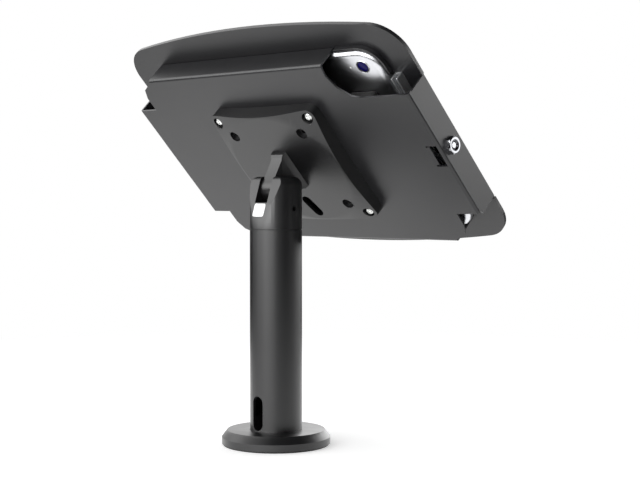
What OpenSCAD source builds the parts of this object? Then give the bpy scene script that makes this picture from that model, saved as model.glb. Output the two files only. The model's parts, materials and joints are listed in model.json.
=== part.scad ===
// Tablet security kiosk stand: pole with a swivel and tilt head, and a locking tablet enclosure.
// The screen faces -Y and the lock is on the -X side. The origin is the middle of the base's underside.

/* [Base] */
// Diameter of the base flange
base_d = 86.2; // [80:0.1:100]
// Height of the flange's upright wall, above the pad
base_wall_h = 5.4; // [4:0.1:8]
// Height of the flange's chamfer
base_chamfer_h = 5.6; // [3:0.1:8]
// Width of the flange's chamfer
base_chamfer_w = 4.4; // [3:0.1:8]
// Thickness of the rubber pad
pad_t = 1.2; // [0.8:0.1:3]
// How far the pad stays in from the flange's edge
pad_inset = 1.0; // [0.5:0.1:3]
// Diameter of the cable bore through the base
cable_bore_d = 22; // [16:0.5:24]
// Diameter of the circle of tapped mounting holes
mount_pcd = 64; // [60:0.5:66]
// Tapping diameter of the mounting holes
mount_hole_d = 5; // [4:0.1:6]
// Depth of the mounting holes in the flange
mount_hole_depth = 8; // [6:0.1:8.5]
// How deep the pole sits in the flange
pole_seat_depth = 1.5; // [1:0.1:2.5]
// Width of the flange's hub round the cable bore, level with the pad's underside
hub_w = 1.8; // [1:0.1:2]

/* [Pole] */
// Outer diameter of the pole and of the head
pole_d = 41.3; // [38:0.1:44]
// Wall of the pole
pole_wall = 2.6; // [2:0.1:3]
// Height of the pole's top edge above the counter
pole_top_z = 170.4; // [120:0.1:400]
// Width of the cable slot
pole_slot_w = 10.6; // [7:0.1:12]
// Height of the cable slot's lower end above the counter
pole_slot_low_z = 12.9; // [12.6:0.1:16]
// Height of the cable slot's upper end above the counter
pole_slot_high_z = 40; // [30:0.1:60]
// Height of the plug in the pole's foot
foot_plug_h = 13; // [10:0.5:20]
// How far the foot screws' axes lie in from the pole's bore
foot_screw_in = 3.05; // [2.9:0.05:3.2]
// Diameter of the foot screws
foot_screw_d = 4; // [3:0.1:4.5]
// Thickness of the plug in the pole's head
head_plug_t = 12; // [10:0.5:20]

/* [Swivel] */
// Thickness of the thrust washer in the seam
thrust_t = 0.7; // [0.4:0.1:1.5]
// How far the thrust washer stays in from the pole's surface
thrust_inset = 0.7; // [0.4:0.1:1.5]
// Width of the thrust washer's ring
thrust_w = 4.45; // [3:0.05:5]
// Diameter of the swivel bolt
swivel_bolt_d = 10; // [8:0.5:10]
// Height of the swivel bolt's end inside the head, above the head's lower face
swivel_bolt_rise = 18.3; // [17:0.1:18.3]
// Circle radius of the stop pin
stop_pin_r = 12; // [11:0.1:13]
// Diameter of the stop pin
stop_pin_d = 4; // [3:0.1:5]
// How deep the stop pin reaches into the head plug
stop_pin_depth = 4; // [3:0.1:6]
// Swivel to each side, in degrees
swivel_reach = 160; // [90:1:160]

/* [Head] */
// Height of the head above its lower face
head_h = 41.3; // [40:0.1:44]
// Radius of the domed top edge
dome_r = 7; // [4:0.1:9]
// Distance of the head's slanted rear face from its axis, at the height of the tilt axis
rear_face_y = 12.9; // [12.3:0.1:14]
// Lean of that face from upright, in degrees
rear_lean = 18.3; // [16:0.1:20]
// Radius of the edge between that face and the head's top
crest_r = 5; // [4:0.1:6]
// Width of the fork slot
fork_w = 13.6; // [13:0.1:16]
// Height of the tilt axis above the head's lower face
pivot_rise = 31.8; // [31:0.1:33]
// Gap below the arm's boss at the slot's floor
floor_gap = 0.6; // [0.4:0.1:1]
// Fall of the slot's floor towards the front, in degrees
floor_fall = 16; // [14:1:20]
// Diameter of the tilt bolt
tilt_bolt_d = 8; // [6:0.5:8]
// Diameter of the tilt bolt's head
tilt_cap_d = 13; // [12:0.5:14]
// Height of the tilt bolt's head
tilt_cap_h = 5; // [4:0.5:6]
// Wall of the fork under the tilt bolt's head
fork_wall = 7; // [6:0.5:9]
// Diameter of the lock screw on the side of the head
lock_screw_d = 4; // [3:0.1:4]
// Length of the lock screw
lock_screw_len = 8; // [6:0.5:10]
// Height of the lock screw above the head's lower face
lock_screw_rise = 16.1; // [15:0.1:16.2]
// Width of the blank label
label_w = 12; // [8:0.5:14]
// Height of the blank label
label_h = 10.6; // [8:0.1:14]
// Corner radius of the blank label
label_corner_r = 1.8; // [1:0.1:3]
// Thickness of the blank label
label_t = 0.2; // [0.1:0.05:0.4]

/* [Arm] */
// Tilt of the plate back from upright, in degrees
tilt = 44.3; // [20:0.1:80]
// Thickness of the tilt arm in the fork
arm_t = 12; // [11:0.1:12]
// Width of the arm where it meets the plate
arm_foot_w = 15.7; // [13:0.1:24]
// Radius of the arm's boss
boss_r = 10.4; // [9:0.1:10.4]
// Distance from the tilt axis to the plate's back face
plate_off = 22.5; // [22:0.1:26]
// Distance that the plate's middle lies below the tilt axis, along the plate
plate_drop = 1.2; // [0:0.1:3]
// Half height of the arm's neck near the plate
neck_half_h = 15.8; // [14:0.1:18]
// Length of the arm's foot, from the plate to the neck
foot_len = 6.5; // [4:0.1:7]
// Half height of the arm's foot
foot_half_h = 18.6; // [17:0.1:24]
// Length of the flare from the plate
flare_len = 5; // [2:0.1:5]
// Distance of the arm screws from the arm's middle
arm_screw_off = 12.5; // [12:0.1:14]
// Diameter of the arm screws
arm_screw_d = 5; // [4:0.1:5]

/* [Monitor plate] */
// Depth of the plate, from its back face to the tray
plate_depth = 12.5; // [10:0.1:16]
// Thickness of the plate's back
plate_wall = 3; // [2.6:0.1:4]
// Radius of the plate's corners, round the outer screws
plate_corner_r = 7.3; // [7:0.1:9]
// How far the sides curve in at the back face
side_dip = 1.5; // [0.8:0.1:3]
// How far the sides curve in at the tray
side_dip_low = 0.8; // [0.3:0.1:0.8]
// Radius where the plate's back begins to fall towards its corners
fall_r = 54; // [50:0.5:58]
// Fall of the plate's back at the outer screws
corner_fall = 3; // [0.5:0.1:4]
// Wall between the hollow inside the plate and its sides
plate_side_wall = 5.3; // [4.9:0.1:5.8]
// Half width of each arm of the cross-shaped hollow
hollow_arm = 29; // [22:0.5:30]
// Larger square screw pattern
vesa_wide = 100; // [100:100]
// Smaller square screw pattern
vesa_small = 75; // [75:75]
// Diameter of the screw recesses
recess_d = 9.6; // [8.6:0.1:10]
// Depth of the screw recesses
recess_depth = 3.3; // [2.5:0.1:5]
// Diameter of the screw holes in the plate
vesa_hole_d = 4.5; // [4.3:0.1:5]
// Width of the plate's cable slot
plate_slot_w = 9.8; // [8:0.1:10]
// Upper end of the plate's cable slot, across and up from the middle
plate_slot_a = [-5, -34.3];
// Lower end of the plate's cable slot, across and up from the middle
plate_slot_b = [-1, -46.3];

/* [Tray] */
// Thickness of the tray's sheet
sheet_t = 1.5; // [1.2:0.1:2]
// Outer radius of the tray's bends
bend_r = 2.4; // [2.1:0.1:3]
// From the tablet's end to the outside of the tray
side_room = 25.2; // [24.4:0.1:32]
// From the tablet's edge to the outside of the tray's upper and lower walls
edge_room = 1.95; // [1.85:0.05:6]
// Height of the tray's side ears, from the middle
ear_half_h = 60; // [50:0.5:64]
// Width of the tray's ears, beyond its neck
ear_w = 21; // [18:0.5:27]
// How far the tray's upper and lower walls stay in from its ends
wall_inset = 37; // [34:0.5:48]
// Where the tray's corner starts to slope, down from the upper edge
corner_drop = 18.2; // [15:0.1:22]
// Middle of the sloped corner, in from the tray's end and down from its edge
corner_mid = [25, 9.2];
// Camera window: where it leaves the upper edge, in from the tray's end
window_top_in = 65; // [50:0.5:69]
// Camera window: its lower edge, down from the tray's upper edge
window_drop = 32.2; // [32:0.1:35]
// Camera window: its curved side, in from where it leaves the edge and down from the edge
window_side = [[-1, 10.2], [3, 21.2], [12, 30.2]];
// Camera window: where its lower edge begins, in from the tray's end
window_foot_in = 45; // [40:0.5:51]
// Reach of the lock wall below the middle
lock_wall_low = 63.5; // [61:0.5:70]
// Reach of the lock wall above the middle
lock_wall_high = 58; // [50:0.5:60]
// Width of the windows for the hooks
hook_window_w = 24.6; // [20:0.1:30]
// Depth of the windows for the hooks, from the tray's back
hook_window_depth = 8; // [7.5:0.1:10]
// Height of the middle of each hook window
hook_v = [34.3, -33.2];
// Lock tab beside the fold: width of the cut-out
tab_len = 9.8; // [8:0.1:12]
// Lock tab: ends of the cut-out above and below the lock
tab_reach = [9.6, 10.6];
// Lock tab: width of its slits
slit_w = 1.3; // [1:0.1:2]
// Lock tab: inward bend, in degrees
tab_bend = 22; // [10:1:30]
// Opening between the lock tab's free end and the fold
tab_gap = 7.4; // [6:0.1:8]
// How far the cable hole lies below the middle, behind the plate
tray_cable_drop = 36; // [33:0.5:39]
// Diameter of the cable hole in the tray, behind the plate
tray_cable_d = 18; // [12:0.5:24]
// Diameter of the clinch nuts
clinch_d = 9; // [7:0.1:10]
// Height of the clinch nuts
clinch_h = 3.5; // [2.5:0.1:6]
// Size of each foam pad, across and up
foam_pad = [26, 44];
// Middle of the foam pads, across and up
foam_at = [96, 34];

/* [Lock] */
// Diameter of the lock's six-sided collar across its corners
collar_d = 14; // [13.9:0.1:18]
// How far the collar stands out from the wall
collar_h = 3.8; // [2:0.1:6]
// Turn of the collar on its wall, in degrees
collar_turn = 44; // [0:1:60]
// Diameter of the lock's barrel
barrel_d = 12; // [11:0.1:14]
// Length of the barrel inside the wall
barrel_len = 9.5; // [9:0.1:10]
// Diameter of the lock's plug
plug_d = 8; // [7:0.1:8.5]
// Nut across its flats
lock_nut_af = 15; // [14:0.1:15.5]
// Thickness of the lock's nut
lock_nut_t = 3.5; // [3:0.1:5]
// Reach of the cam from the lock's axis
cam_reach = 8.3; // [7.5:0.1:8.6]
// Width of the cam
cam_w = 7; // [6:0.1:7]
// Thickness of the cam
cam_t = 2; // [1.5:0.1:2.2]

/* [Frame] */
// How far the front frame reaches past the tray at each end
frame_over = 0.7; // [0.5:0.1:4]
// How far the front frame reaches past the tray above and below, at its middle
frame_brim = 24.2; // [21:0.1:28]
// How far the frame's middle lies above the plate's middle
frame_rise = 1.6; // [0:0.1:3]
// Radius of the bowed upper and lower edges
bow_r = 884; // [600:1:1200]
// Radius of the frame's corners
frame_corner_r = 28; // [20:0.5:34]
// Thickness of the frame
frame_t = 3; // [2:0.1:4]
// Depth of the enclosure, from the tray's back to the frame's back
case_depth = 20.9; // [20.5:0.1:26]
// Rim of tablet that the frame covers on each side
bezel_cover = 8; // [4:0.1:9]
// Radius of the window's corners
window_r = 6; // [2:0.5:12]
// Gap between the tray's end wall and the frame's hooks
hook_gap = 0.4; // [0.3:0.1:0.8]
// Play of a hook in its window, to each side
hook_play = 1; // [0.5:0.1:2]
// How far the hook's lip lies below the tray's back
hook_drop = 4.5; // [3.5:0.1:5]
// How far the hook's lip reaches past the wall
hook_reach = 0.4; // [0.2:0.1:0.6]
// Length of the hooks' feet on the frame
hook_foot = 10; // [7:0.5:14]
// Thickness of the gasket between frame and tablet
gasket_t = 0.4; // [0.3:0.1:1]
// Width of the gasket
gasket_w = 5; // [3:0.1:6]

/* [Tablet] */
// Length of the tablet
tablet_w = 247.6; // [240:0.1:249]
// Height of the tablet
tablet_h = 178.5; // [170:0.1:178.8]
// Thickness of the tablet
tablet_t = 6.8; // [5.5:0.1:7.2]
// Radius of the tablet's corners
tablet_r = 17.5; // [8:0.5:22]
// Thickness of the front glass
glass_t = 0.8; // [0.5:0.1:1.2]
// Middle of the camera lens, in from the tablet's end and down from its edge
lens_in = [15.2, 12.55];
// Diameter of the lens
lens_d = 9.4; // [6:0.1:12]
// Width of the ring round the lens
lens_ring_w = 1.1; // [0.6:0.1:2]
// How far the ring stands out of the tablet
lens_ring_h = 0.5; // [0.2:0.1:1.2]

/* [Channel] */
// Gap between the channel and the catch beside it
channel_gap = 0.6; // [0.3:0.1:1]
// Width of the channel
channel_w = 6.3; // [5:0.1:6.5]
// Sheet of the channel
channel_t = 1.5; // [1:0.1:1.8]
// Height of the channel
channel_h = 7.9; // [6:0.1:9]
// Reach of the channel above and below the middle
channel_reach = 64; // [40:0.5:70]

/* [Clearances] */
// Running clearance on a radius
run_fit = 0.05; // [0.02:0.01:0.1]
// Gap between faces that slide or turn past each other
face_gap = 0.1; // [0.05:0.05:0.3]
// Gap between pieces that swing apart
swing_gap = 0.3; // [0.2:0.05:0.6]
// Smoothness of round pieces
facets = 96; // [48:8:160]

/* [Hidden] */

$fn = facets;
eps = 0.01;
past = 1;
wide_facets = 240;
// How far a wide curve stops short of the corner that it runs into
curve_stop = 0.5;
// Room past the end of what stands in a blind hole
blind_room = 0.2;

// Column heights and radii
flange_h = base_wall_h + base_chamfer_h;
base_top_z = pad_t + flange_h;
pole_r = pole_d / 2;
pole_bore_r = pole_r - pole_wall;
pole_foot_z = base_top_z - pole_seat_depth;
foot_screw_pcd = 2 * (pole_bore_r - foot_screw_in);
screw_head_d = 1.5 * foot_screw_d;
screw_cone_h = (screw_head_d - foot_screw_d) / 2;
plug_step = 0.5;
mount_count = 4;
foot_count = 3;
foot_screw_bite = 9;
pad_hole_room = 1;

// Swivel heights
head_z = pole_top_z + thrust_t + face_gap;
plug_low_z = pole_top_z - head_plug_t;
flat_washer_t = 2;
flat_washer_d = 24;
spring_washer_t = 1.2;
spring_washer_d = 22;
bolt_head_t = 6.4;
bolt_head_d = 17;
pin_bite = 6;
washer_low_z = plug_low_z - face_gap - flat_washer_t;
spring_low_z = washer_low_z - 2 * spring_washer_t;
stop_half_angle = swivel_reach + asin(stop_pin_d / 2 / stop_pin_r) + 1;

// Head
pivot_z = head_z + pivot_rise;
head_top = head_z + head_h;
slot_floor_z = pivot_z - boss_r - floor_gap;
friction_t = (fork_w - arm_t) / 2 - face_gap;
friction_inset = 0.5;
friction_d = 2 * (boss_r - friction_inset);
arm_screw_grip = 7;
arm_hole_room = 0.5;
tilt_cap_room = 1;
label_gap = 0.8;
label_drop = (pivot_z - slot_floor_z) / cos(rear_lean) + label_gap + label_h / 2;
crest_rise = 0.3;
crest_z = head_top + crest_rise - crest_r;
crest_y = rear_face_y - (crest_r + (crest_z - pivot_z) * sin(rear_lean)) / cos(rear_lean);

// Enclosure depths, counted from the plate's back face and growing to the rear
tray_back = -plate_depth;
tray_inner = tray_back - sheet_t;
tray_inner_depth = plate_depth + sheet_t;
frame_back = tray_back - case_depth;
frame_front = frame_back - frame_t;
tablet_front = frame_back + gasket_t;
tablet_back = tablet_front + tablet_t;
tablet_half_w = tablet_w / 2;
tablet_half_h = tablet_h / 2;
screen_half_w = tablet_half_w - bezel_cover;
screen_half_h = tablet_half_h - bezel_cover;
lens_at = [tablet_half_w - lens_in[0], tablet_half_h - lens_in[1]];
lens_out_r = lens_d / 2 + lens_ring_w;
lens_seat = 2;
glass_rim = 1;
gasket_step = 1;

// Monitor plate, its screws, and foam
plate_half = vesa_wide / 2 + plate_corner_r;
hollow_half = plate_half - plate_side_wall;
low_recess = recess_depth + corner_fall;
vesa_screw_d = 4;
vesa_head_t = 2.4;
vesa_head_gap = 0.8;
vesa_socket_d = 2.5;
foam_r = 3;

// Tray outline, and the frame round it
tray_half_w = tablet_half_w + side_room;
tray_half_h = tablet_half_h + edge_room;
neck_half_w = tray_half_w - ear_w;
wall_half_w = tray_half_w - wall_inset;
corner_low = tray_half_h - corner_drop;
corner_u = tray_half_w - corner_mid[0];
corner_v = tray_half_h - corner_mid[1];
window_top_u = tray_half_w - window_top_in;
window_low_v = tray_half_h - window_drop;
window_foot_u = tray_half_w - window_foot_in;
wall_depth = case_depth - swing_gap;
wall_strip = 2;
wall_end_gap = 0.2;
frame_half_w = tray_half_w + frame_over;
frame_half_h = tray_half_h + frame_brim;
recess_end_gap = 0.8;

// Lock, seated in the wall of the tray
lock_n = tray_back - 11.5;
wall_in_u = tray_half_w - sheet_t;
barrel_end_u = wall_in_u - barrel_len;
cam_u = barrel_end_u - 2 * face_gap - cam_t;
cam_screw_d = 3;
cam_screw_head_t = 1.3;
collar_chamfer = 1.2;
plug_sink = 0.5;
key_depth = 3;
key_rim = 0.5;
key_post = 2;
catch_gap = 0.7;
catch_t = 1.5;
catch_rim = 0.7;
catch_w = cam_t + catch_rim;
catch_u = cam_u - 1.2;
catch_low_v = 4.6;
catch_post_v = 10;
catch_post_t = 3;
catch_foot = 2;
channel_u = catch_u - channel_gap - channel_w / 2;

// A part of the enclosure: X runs to the lock side, Y to the rear and Z up along the plate
module in_plate() {
    translate([0, 0, pivot_z])
        rotate([-tilt, 0, 0])
            translate([0, -plate_off, -plate_drop])
                mirror([1, 0, 0])
                    children();
}

// A flat outline of the enclosure, given depth from its rear face forwards
module slab(rear, t) {
    translate([0, rear, 0])
        rotate([90, 0, 0])
            linear_extrude(height = t)
                children();
}

// A round bar along the enclosure's depth, from its rear end forwards
module post(at, d, rear, len) {
    translate([at[0], rear, at[1]])
        rotate([90, 0, 0])
            cylinder(h = len, d = d);
}

// A tube or washer standing on z
module ring(z, h, outer_r, inner_r) {
    translate([0, 0, z])
        difference() {
            cylinder(h = h, r = outer_r);
            translate([0, 0, -past])
                cylinder(h = h + 2 * past, r = inner_r);
        }
}

// A rectangle with round corners, about its middle
module round_rect(half_w, half_h, r) {
    square([2 * half_w, 2 * (half_h - r)], center = true);
    square([2 * (half_w - r), 2 * half_h], center = true);
    for (sx = [-1, 1], sy = [-1, 1])
        translate([sx * (half_w - r), sy * (half_h - r)])
            circle(r = r);
}

// A slot with round ends between two points, its sides a hair inside the round ends
module slot_2d(a, b, w) {
    run = b - a;
    for (p = [a, b])
        translate(p)
            circle(d = w);
    translate(a)
        rotate(atan2(run[1], run[0]))
            translate([0, eps - w / 2])
                square([norm(run), w - 2 * eps]);
}

// The four corners of a square screw pattern
module at_square(size) {
    for (sx = [-1, 1], sy = [-1, 1])
        translate([sx * size / 2, 0, sy * size / 2])
            children();
}

// Base

module base_flange() color([0.16, 0.16, 0.17]) {
    difference() {
        rotate_extrude()
            polygon([
                [0, 0],
                [cable_bore_d / 2 + hub_w, 0],
                [cable_bore_d / 2 + hub_w, pad_t],
                [base_d / 2, pad_t],
                [base_d / 2, pad_t + base_wall_h],
                [base_d / 2 - base_chamfer_w, base_top_z],
                [0, base_top_z]
            ]);
        translate([0, 0, -past])
            cylinder(h = base_top_z + 2 * past, d = cable_bore_d);
        translate([0, 0, pole_foot_z])
            cylinder(h = pole_seat_depth + past, r = pole_r);
        for (i = [0 : mount_count - 1])
            rotate(45 + i * 360 / mount_count)
                translate([mount_pcd / 2, 0, -past])
                    cylinder(h = pad_t + mount_hole_depth + past, d = mount_hole_d);
        for (i = [0 : foot_count - 1])
            rotate(30 + i * 360 / foot_count)
                translate([foot_screw_pcd / 2, 0, pad_t]) {
                    translate([0, 0, -past])
                        cylinder(h = base_top_z + past, d = foot_screw_d);
                    cylinder(h = screw_cone_h, d1 = screw_head_d, d2 = foot_screw_d);
                }
    }
}

module base_pad() color([0.05, 0.05, 0.05]) {
    difference() {
        cylinder(h = pad_t, r = base_d / 2 - pad_inset);
        translate([0, 0, -past])
            cylinder(h = pad_t + 2 * past, r = foot_screw_pcd / 2 + screw_head_d);
        for (i = [0 : mount_count - 1])
            rotate(45 + i * 360 / mount_count)
                translate([mount_pcd / 2, 0, -past])
                    cylinder(h = pad_t + 2 * past, d = mount_hole_d + 2 * pad_hole_room);
    }
}

module base_screws() color([0.7, 0.7, 0.72]) {
    for (i = [0 : foot_count - 1])
        rotate(30 + i * 360 / foot_count)
            translate([foot_screw_pcd / 2, 0, pad_t]) {
                cylinder(h = flange_h + foot_screw_bite, d = foot_screw_d);
                cylinder(h = screw_cone_h, d1 = screw_head_d, d2 = foot_screw_d);
            }
}

// Pole

// The cable slot, cut through the back of whatever stands at the pole's wall
module pole_slot() {
    low = pole_slot_low_z + pole_slot_w / 2;
    high = pole_slot_high_z - pole_slot_w / 2;
    rotate([-90, 0, 0])
        linear_extrude(height = base_d / 2)
            slot_2d([0, -low], [0, -high], pole_slot_w);
}

module pole_tube() color([0.16, 0.16, 0.17]) {
    difference() {
        ring(pole_foot_z, pole_top_z - pole_foot_z, pole_r, pole_bore_r);
        pole_slot();
    }
}

module pole_foot_plug() color([0.4, 0.4, 0.42]) {
    difference() {
        ring(pole_foot_z, foot_plug_h, pole_bore_r, cable_bore_d / 2 + plug_step);
        for (i = [0 : foot_count - 1])
            rotate(30 + i * 360 / foot_count)
                translate([foot_screw_pcd / 2, 0, pole_foot_z - past])
                    cylinder(h = foot_plug_h + 2 * past, d = foot_screw_d);
        translate([-pole_slot_w / 2, 0, pole_foot_z - past])
            cube([pole_slot_w, pole_d, foot_plug_h + 2 * past]);
    }
}

module pole_head_plug() color([0.4, 0.4, 0.42]) {
    difference() {
        ring(plug_low_z, head_plug_t, pole_bore_r, swivel_bolt_d / 2 + run_fit);
        difference() {
            ring(pole_top_z - stop_pin_depth - swing_gap, head_plug_t,
                stop_pin_r + stop_pin_d / 2 + swing_gap, stop_pin_r - stop_pin_d / 2 - swing_gap);
            stop_land();
        }
    }
}

// The uncut part of the plug that the stop pin meets at each end of its swing
module stop_land() {
    edge = pole_r * tan(180 - stop_half_angle);
    translate([0, 0, plug_low_z - past])
        linear_extrude(height = head_plug_t + 2 * past)
            polygon([[0, 0], [edge, pole_r], [-edge, pole_r]]);
}

// Swivel

module swivel_thrust_washer() color([0.03, 0.03, 0.03]) {
    outer_r = pole_r - thrust_inset;
    ring(pole_top_z, thrust_t, outer_r, outer_r - thrust_w);
}

module swivel_bolt() color([0.6, 0.6, 0.62]) {
    translate([0, 0, spring_low_z])
        cylinder(h = head_z + swivel_bolt_rise - spring_low_z, d = swivel_bolt_d);
    translate([0, 0, spring_low_z - bolt_head_t])
        cylinder(h = bolt_head_t, d = bolt_head_d, $fn = 6);
}

module swivel_flat_washer() color([0.7, 0.7, 0.72]) {
    ring(washer_low_z, flat_washer_t, flat_washer_d / 2, swivel_bolt_d / 2);
}

module swivel_spring_washers() color([0.55, 0.55, 0.58]) {
    for (i = [0, 1])
        ring(spring_low_z + i * spring_washer_t, spring_washer_t, spring_washer_d / 2 - i,
            swivel_bolt_d / 2);
}

module swivel_stop_pin() color([0.7, 0.7, 0.72]) {
    translate([0, -stop_pin_r, pole_top_z - stop_pin_depth])
        cylinder(h = stop_pin_depth + head_z - pole_top_z + pin_bite, d = stop_pin_d);
}

// Head

module swivel_head() color([0.15, 0.15, 0.16]) {
    difference() {
        intersection() {
            rotate_extrude() {
                translate([0, head_z])
                    square([pole_r, head_h - dome_r]);
                translate([0, head_z])
                    square([pole_r - dome_r, head_h]);
                translate([pole_r - dome_r, head_top - dome_r])
                    circle(r = dome_r);
            }
            head_side();
        }
        fork_slot();
        translate([0, 0, head_z - past])
            cylinder(h = swivel_bolt_rise + blind_room + past, d = swivel_bolt_d);
        translate([0, -stop_pin_r, head_z - past])
            cylinder(h = pin_bite + blind_room + past, d = stop_pin_d);
        translate([0, 0, head_z + lock_screw_rise])
            rotate([0, -90, 0])
                cylinder(h = pole_d, d = lock_screw_d);
        tilt_bolt_hole();
    }
}

// Side view of the head: a slanted face at the rear that runs into the top on a radius
module head_side() {
    reach = pole_d;
    rotate([90, 0, 90])
        linear_extrude(height = 2 * reach, center = true) {
            translate([crest_y, crest_z])
                circle(r = crest_r);
            polygon([
                [crest_y, crest_z + crest_r],
                [-reach, crest_z + crest_r],
                [-reach, head_z - reach],
                [rear_face_y + (pivot_z - head_z + reach) * tan(rear_lean), head_z - reach],
                [crest_y, crest_z] + crest_r * [cos(rear_lean), sin(rear_lean)]
            ]);
        }
}

// The slot of the fork, with a floor that falls towards the front so that the arm can come level
module fork_slot() {
    reach = pole_d;
    translate([-fork_w / 2, 0, 0])
        rotate([90, 0, 90])
            linear_extrude(height = fork_w)
                polygon([
                    [reach, slot_floor_z],
                    [reach, head_top + past],
                    [-reach, head_top + past],
                    [-reach, slot_floor_z - reach * tan(floor_fall)],
                    [0, slot_floor_z]
                ]);
}

// Through the +X cheek with a recess for the bolt's head, and blind in the other cheek
module tilt_bolt_hole() {
    translate([-fork_w / 2 - fork_wall, 0, pivot_z])
        rotate([0, 90, 0])
            cylinder(h = fork_w + 2 * fork_wall + past, d = tilt_bolt_d);
    translate([fork_w / 2 + fork_wall, 0, pivot_z])
        rotate([0, 90, 0])
            cylinder(h = pole_d, d = tilt_cap_d + tilt_cap_room);
}

module tilt_bolt() color([0.6, 0.6, 0.62]) {
    translate([-fork_w / 2 - fork_wall, 0, pivot_z])
        rotate([0, 90, 0])
            cylinder(h = fork_w + 2 * fork_wall, d = tilt_bolt_d);
    translate([fork_w / 2 + fork_wall, 0, pivot_z])
        rotate([0, 90, 0])
            difference() {
                cylinder(h = tilt_cap_h, d = tilt_cap_d);
                translate([0, 0, tilt_cap_h / 2])
                    cylinder(h = tilt_cap_h, d = tilt_cap_d / 2, $fn = 6);
            }
}

module tilt_friction_washers() color([0.75, 0.72, 0.6]) {
    for (side = [-1, 1])
        translate([side * (arm_t / 2 + face_gap / 2 + friction_t / 2), 0, pivot_z])
            rotate([0, 90, 0])
                difference() {
                    cylinder(h = friction_t, d = friction_d, center = true);
                    cylinder(h = friction_t + past, d = tilt_bolt_d, center = true);
                }
}

module swivel_lock_screw() color([0.1, 0.1, 0.1]) {
    translate([-swivel_bolt_d / 2, 0, head_z + lock_screw_rise])
        rotate([0, -90, 0])
            difference() {
                cylinder(h = lock_screw_len, d = lock_screw_d);
                translate([0, 0, lock_screw_len - lock_screw_d / 2])
                    cylinder(h = lock_screw_d, d = lock_screw_d / 2, $fn = 6);
            }
}

module head_label() color([0.95, 0.95, 0.95]) {
    translate([0, rear_face_y, pivot_z])
        rotate([rear_lean - 90, 0, 0])
            translate([0, label_drop, 0])
                linear_extrude(height = label_t)
                    round_rect(label_w / 2, label_h / 2, label_corner_r);
}

// Arm

module tilt_arm() color([0.15, 0.15, 0.16]) {
    translate([0, 0, pivot_z])
        rotate([-tilt, 0, 0])
            difference() {
                intersection() {
                    arm_side();
                    arm_plan();
                }
                rotate([0, 90, 0])
                    cylinder(h = arm_t + past, d = tilt_bolt_d + 2 * run_fit, center = true);
                for (side = [-1, 1])
                    translate([0, -plate_off - past, side * arm_screw_off])
                        rotate([-90, 0, 0])
                            cylinder(h = past + arm_screw_grip + arm_hole_room, d = arm_screw_d);
            }
}

// Side view of the arm: a round boss, a neck that leaves it at a tangent, and a foot with a bevel
module arm_side() {
    neck_y = -plate_off + foot_len;
    reach = norm([neck_y, neck_half_h]);
    touch = atan2(neck_half_h, neck_y) - acos(boss_r / reach);
    rotate([90, 0, 90])
        linear_extrude(height = 2 * arm_foot_w, center = true) {
            circle(r = boss_r);
            polygon([
                boss_r * [cos(touch), sin(touch)],
                [neck_y, neck_half_h],
                [neck_y - foot_len / 2, foot_half_h],
                [-plate_off, foot_half_h],
                [-plate_off, -foot_half_h],
                [neck_y - foot_len / 2, -foot_half_h],
                [neck_y, -neck_half_h],
                boss_r * [cos(touch), -sin(touch)]
            ]);
        }
}

// Plan view of the arm: straight in the fork, and flared where it meets the plate
module arm_plan() {
    translate([0, 0, -2 * foot_half_h])
        linear_extrude(height = 4 * foot_half_h)
            polygon([
                [-arm_t / 2, boss_r + past],
                [arm_t / 2, boss_r + past],
                [arm_t / 2, flare_len - plate_off],
                [arm_foot_w / 2, -plate_off],
                [-arm_foot_w / 2, -plate_off],
                [-arm_t / 2, flare_len - plate_off]
            ]);
}

module arm_screws() color([0.6, 0.6, 0.62]) {
    translate([0, 0, pivot_z])
        rotate([-tilt, 0, 0])
            for (side = [-1, 1])
                translate([0, -plate_off - plate_wall, side * arm_screw_off])
                    rotate([-90, 0, 0]) {
                        cylinder(h = plate_wall + arm_screw_grip, d = arm_screw_d);
                        cylinder(h = arm_screw_d / 2, d1 = 2 * arm_screw_d, d2 = arm_screw_d);
                    }
}

// Monitor plate

module vesa_plate() color([0.15, 0.15, 0.16]) {
    in_plate()
        difference() {
            intersection() {
                slab(0, plate_depth)
                    round_rect(plate_half, plate_half, plate_corner_r);
                plate_crown();
            }
            for (turn = [0 : 3])
                rotate([0, turn * 90, 0])
                    side_cut();
            slab(-plate_wall, plate_depth) {
                square([2 * hollow_half, 2 * hollow_arm], center = true);
                square([2 * hollow_arm, 2 * hollow_half], center = true);
            }
            at_square(vesa_wide)
                post([0, 0], recess_d, past, low_recess + past);
            at_square(vesa_small)
                post([0, 0], recess_d, past, recess_depth + past);
            for (size = [vesa_wide, vesa_small])
                at_square(size)
                    post([0, 0], vesa_hole_d, past, plate_depth + 2 * past);
            slab(past, plate_wall + 2 * past)
                slot_2d(plate_slot_a, plate_slot_b, plate_slot_w);
            for (side = [-1, 1])
                translate([0, 0, plate_drop + side * arm_screw_off]) {
                    post([0, 0], arm_screw_d, past, plate_wall + 2 * past);
                    translate([0, -plate_wall, 0])
                        rotate([-90, 0, 0])
                            cylinder(h = arm_screw_d / 2, d1 = 2 * arm_screw_d, d2 = arm_screw_d);
                }
        }
}

// A flat disc whose rim falls away, so that the plate is lower at its corners
module plate_crown() {
    slope = corner_fall / (vesa_wide / sqrt(2) - fall_r);
    reach = 1.5 * plate_half;
    rotate([-90, 0, 0])
        rotate_extrude()
            polygon([
                [0, -plate_depth - past],
                [reach, -plate_depth - past],
                [reach, slope * (fall_r - reach)],
                [fall_r - past / slope, past],
                [0, past]
            ]);
}

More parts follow.
